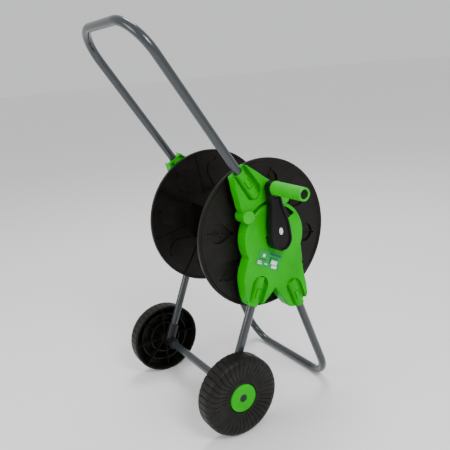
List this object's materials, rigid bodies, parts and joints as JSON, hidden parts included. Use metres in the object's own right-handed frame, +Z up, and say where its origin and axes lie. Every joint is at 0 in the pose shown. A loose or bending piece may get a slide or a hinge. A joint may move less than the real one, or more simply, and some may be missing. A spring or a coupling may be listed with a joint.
{
  "type": "garden hose reel cart",
  "caption": "Two-wheeled hose reel cart: bent tube frame, green side plates, cranked reel with leaf-pattern discs, slatted drum and water fittings for the hose.",
  "frame": {"origin": "on the floor, under the middle of the cart's bounding box", "axes": "+Z up, +X across to the crank side, +Y forwards to the tube foot, with the wheels and the user at -Y"},
  "size_m": [0.4576, 0.4246, 0.836],
  "materials": {
    "frame_paint": "gloss powder coat on steel tube",
    "green_plastic": "satin moulded polypropylene",
    "cap_plastic": "satin moulded polypropylene",
    "grip_plastic": "satin moulded polypropylene",
    "bush_plastic": "moulded acetal",
    "label_film": "printed film, plain blocks only",
    "joint_plastic": "moulded nylon",
    "bright_steel": "zinc plated",
    "wheel_plastic": "moulded polyethylene",
    "reel_plastic": "satin moulded polypropylene",
    "lever_plastic": "moulded nylon, fine grain",
    "tube_plastic": "moulded acetal",
    "seal_rubber": "moulded nitrile",
    "fitting_plastic": "moulded nylon"
  },
  "bodies": {
    "frame": {"handle_tube": "frame_paint", "upper_bracket_crank": "green_plastic", "upper_bracket_far": "green_plastic", "bracket_pins": "green_plastic", "side_plate_crank": "green_plastic", "side_plate_far": "green_plastic", "hub_bush_crank": "bush_plastic", "hub_bush_far": "bush_plastic", "side_label": "label_film", "rear_leg_crank": "frame_paint", "rear_leg_far": "frame_paint", "foot_tube": "frame_paint", "axle_tube": "frame_paint", "axle_joint_crank": "joint_plastic", "axle_joint_far": "joint_plastic", "axle_rod": "bright_steel", "axle_retainers": "bright_steel", "wheel_washers": "bright_steel", "inlet_elbow": "fitting_plastic", "inlet_screws": "bright_steel"},
    "reel": {"reel_disc_crank": "reel_plastic", "reel_disc_far": "reel_plastic", "drum_stave_upper": "reel_plastic", "drum_stave_lower": "reel_plastic", "drum_screws": "bright_steel", "crank_lever": "lever_plastic", "crank_bolt": "bright_steel", "grip_spindle": "lever_plastic", "swivel_tube": "tube_plastic", "swivel_seal": "seal_rubber", "outlet_elbow": "fitting_plastic"},
    "grip": {"crank_grip": "grip_plastic"},
    "crank_side_wheel": {"wheel_crank": "wheel_plastic", "wheel_cap_crank": "cap_plastic"},
    "far_side_wheel": {"wheel_far": "wheel_plastic", "wheel_cap_far": "cap_plastic"}
  },
  "joints": [
    {"name": "reel_spin", "type": "hinge", "parent": "frame", "child": "reel", "pos_m": [-0.03575, 0.05226, 0.388], "axis": [1, 0, 0], "continuous": true},
    {"name": "grip_spin", "type": "hinge", "parent": "reel", "child": "grip", "pos_m": [0.14075, 0.03981, 0.49729], "axis": [1, 0, 0], "continuous": true},
    {"name": "crank_side_wheel_spin", "type": "hinge", "parent": "frame", "child": "crank_side_wheel", "pos_m": [0.11425, -0.08274, 0.0855], "axis": [1, 0, 0], "continuous": true},
    {"name": "far_side_wheel_spin", "type": "hinge", "parent": "frame", "child": "far_side_wheel", "pos_m": [-0.18575, -0.08274, 0.0855], "axis": [1, 0, 0], "continuous": true}
  ]
}
